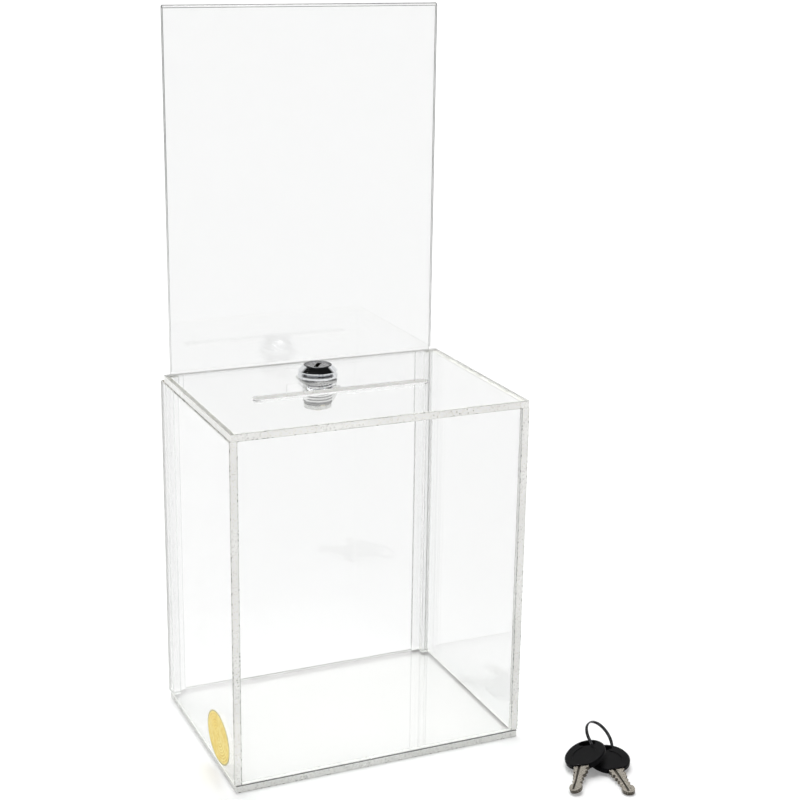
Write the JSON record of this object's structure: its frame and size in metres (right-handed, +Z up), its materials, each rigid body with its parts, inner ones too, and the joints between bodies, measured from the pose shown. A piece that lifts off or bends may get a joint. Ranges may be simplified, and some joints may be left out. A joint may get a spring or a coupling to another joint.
{
  "type": "ballot box",
  "caption": "Clear box with a voting slot and cam lock in the lid, a sliding back panel folded into a tall sign holder, and two keys on a split ring.",
  "frame": {"origin": "underside of the base, at the centre of the four walls' footprint", "axes": "+Z up; +Y from the front wall to the back panel; +X to the right, seen from the front"},
  "size_m": [0.2012, 0.1966, 0.3797],
  "materials": {
    "clear_acrylic": "clear polished acrylic with pale green-grey edges",
    "gold_foil": "satin gold foil",
    "chrome": "bright chrome plate",
    "steel": "zinc-plated steel",
    "brass": "bare brass",
    "nickel": "nickel-plated brass, fine brushing",
    "ring_steel": "dark polished spring steel",
    "black_plastic": "satin black moulded plastic"
  },
  "bodies": {
    "box": {"base_panel": "clear_acrylic", "left_wall": "clear_acrylic", "right_wall": "clear_acrylic", "front_wall": "clear_acrylic", "lid_panel": "clear_acrylic", "left_guide_strip": "clear_acrylic", "right_guide_strip": "clear_acrylic", "left_rear_strip": "clear_acrylic", "right_rear_strip": "clear_acrylic", "gold_seal": "gold_foil", "lock_housing": "chrome", "retaining_clip": "steel", "key_ring": "ring_steel"},
    "sliding_panel": {"back_panel": "clear_acrylic"},
    "lock_core": {"lock_plug": "chrome", "lock_wafers": "brass", "wafer_springs": "steel", "stop_washer": "steel", "lock_cam": "steel", "cam_washer": "steel", "cam_screw": "brass"},
    "key_1": {"key_1_head": "black_plastic", "key_1_blade": "nickel"},
    "key_2": {"key_2_head": "black_plastic", "key_2_blade": "nickel"}
  },
  "joints": [
    {"name": "panel_slide", "type": "slide", "parent": "box", "child": "sliding_panel", "axis": [0, 0, 1], "range_m": [0, 0.172]},
    {"name": "lock_turn", "type": "hinge", "parent": "box", "child": "lock_core", "pos_m": [-0.0045, 0.022, 0.185], "axis": [0, 0, 1], "range_deg": [-55, 35]},
    {"name": "key_1_swing", "type": "hinge", "parent": "box", "child": "key_1", "pos_m": [0.1045, -0.0959, 0.0083], "axis": [0, 0, 1], "range_deg": [-8, 8]},
    {"name": "key_2_swing", "type": "hinge", "parent": "box", "child": "key_2", "pos_m": [0.1088, -0.0981, 0.0041], "axis": [0, 0, 1], "range_deg": [-8, 8]}
  ]
}
